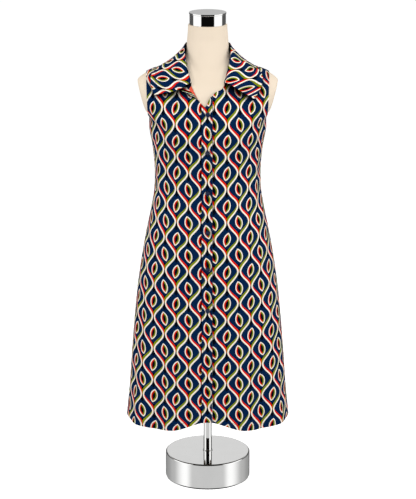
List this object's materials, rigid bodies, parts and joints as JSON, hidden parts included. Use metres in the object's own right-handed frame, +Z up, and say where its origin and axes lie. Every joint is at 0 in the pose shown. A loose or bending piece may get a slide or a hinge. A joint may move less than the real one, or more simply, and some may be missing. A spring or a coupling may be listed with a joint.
{
  "type": "shirt dress on limbless dress form",
  "caption": "Sleeveless collared button-front dress with a curved hem, worn by a limbless dress form on a pole and a round base.",
  "frame": {"origin": "middle of the base's underside", "axes": "+Z up along the pole, -Y towards the dress's front, +X towards the wearer's left"},
  "size_m": [0.432, 0.2672, 1.255],
  "materials": {
    "printed_cloth": "woven cotton, printed",
    "buttons": "polished",
    "form_shell": "matt painted",
    "stand_chrome": "polished"
  },
  "bodies": {
    "root": {"front_right": "printed_cloth", "front_left": "printed_cloth", "back": "printed_cloth", "band_right": "printed_cloth", "band_left": "printed_cloth", "lapel_right": "printed_cloth", "collar": "printed_cloth", "button_1": "buttons", "button_2": "buttons", "button_3": "buttons", "button_4": "buttons", "button_5": "buttons", "button_6": "buttons", "form_torso": "form_shell", "neck_cap": "stand_chrome", "pole": "stand_chrome", "base": "stand_chrome"}
  },
  "joints": []
}
